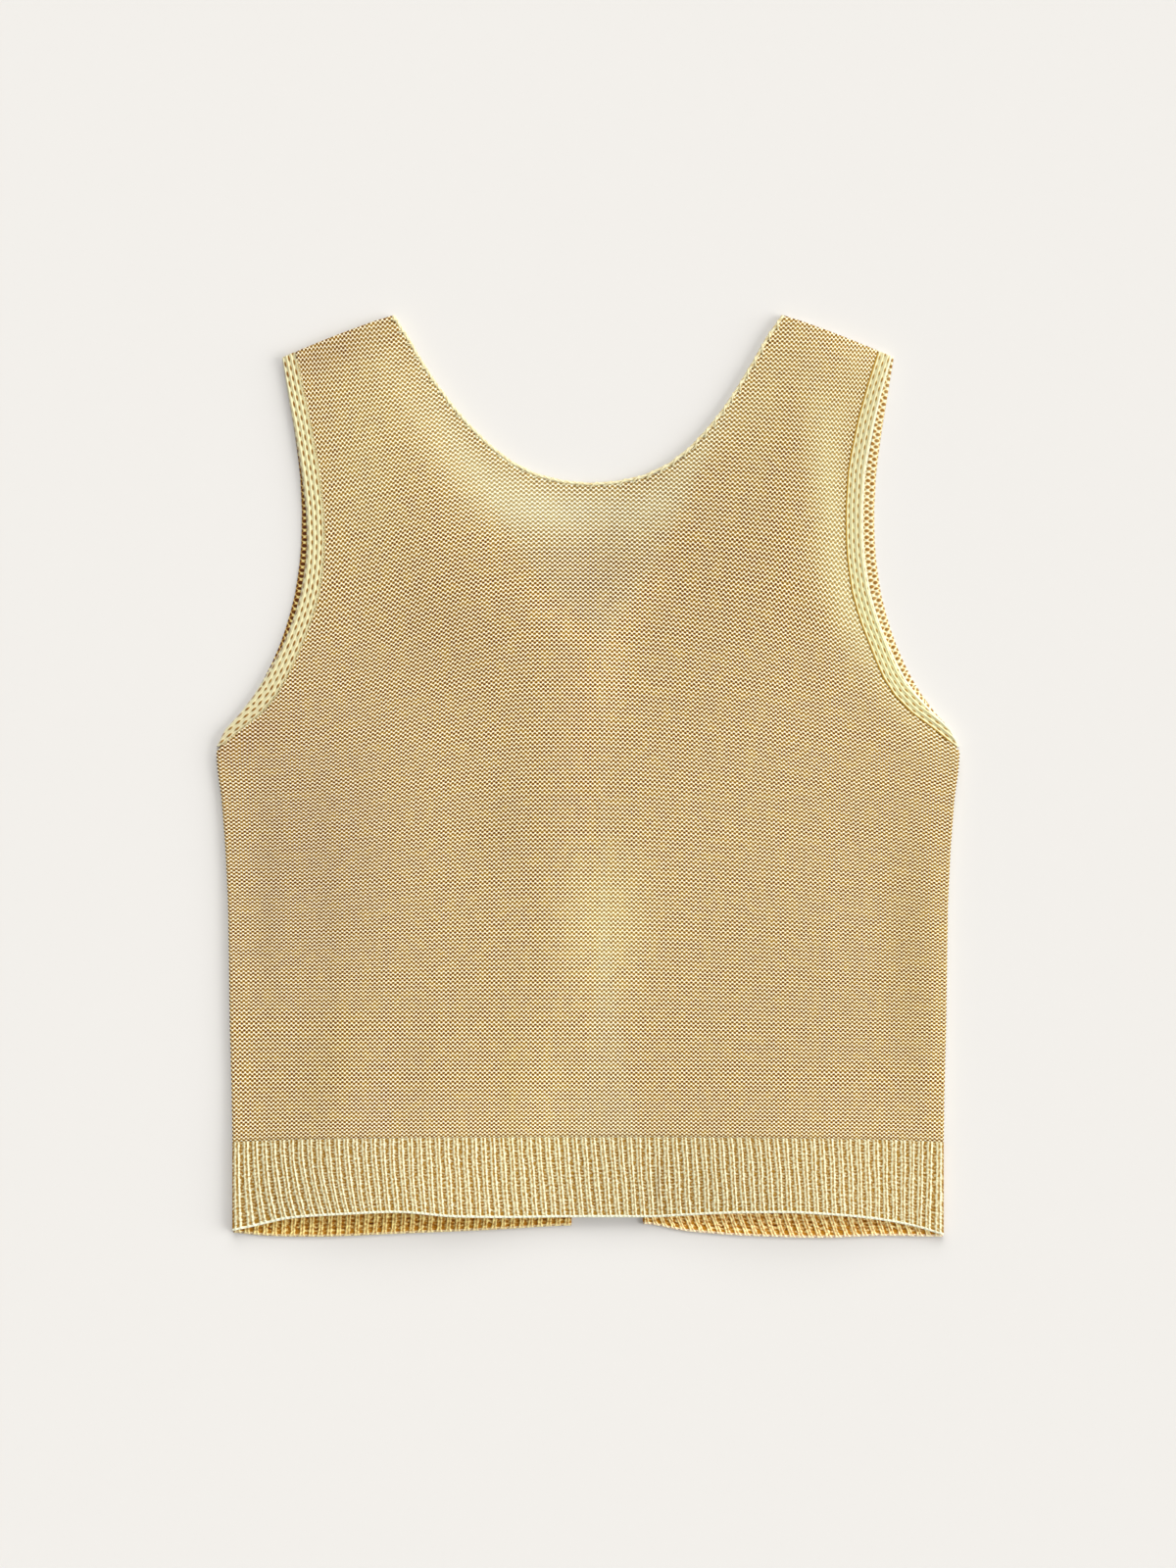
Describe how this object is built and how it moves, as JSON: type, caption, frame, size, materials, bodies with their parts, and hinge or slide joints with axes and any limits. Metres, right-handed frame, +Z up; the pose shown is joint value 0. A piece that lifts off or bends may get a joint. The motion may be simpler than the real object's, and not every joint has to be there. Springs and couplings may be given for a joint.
{
  "type": "sweater vest laid flat, back uppermost",
  "caption": "Cropped sleeveless knit vest laid flat on its open fronts, with a scooped back neck, banded armholes and a ribbed hem.",
  "frame": {"origin": "on the surface the vest rests on, under the middle of its bounding box", "axes": "+X to the right as seen from above, +Y from the hem to the neck, +Z up out of the back panel"},
  "size_m": [0.4208, 0.523, 0.0166],
  "materials": {
    "back_knit": "soft butter-yellow reverse jersey, cream ridges over gold hollows",
    "front_knit": "soft butter-yellow jersey, in the shade of the back",
    "rib_knit": "fine one by one rib, cream wales between gold channels",
    "front_rib_knit": "inner face of the fronts' rib, deeper gold",
    "band_knit": "pale cream chain stitches in three wales",
    "edging_yarn": "pale cream overcast yarn"
  },
  "bodies": {
    "root": {"back_panel": "back_knit", "front_panel_left": "front_knit", "front_panel_right": "front_knit", "back_hem_rib": "rib_knit", "front_hem_rib_left": "front_rib_knit", "front_hem_rib_right": "front_rib_knit", "armhole_band_back_left": "band_knit", "armhole_band_back_right": "band_knit", "armhole_band_front_left": "band_knit", "armhole_band_front_right": "band_knit", "neck_edging": "edging_yarn"}
  },
  "joints": []
}
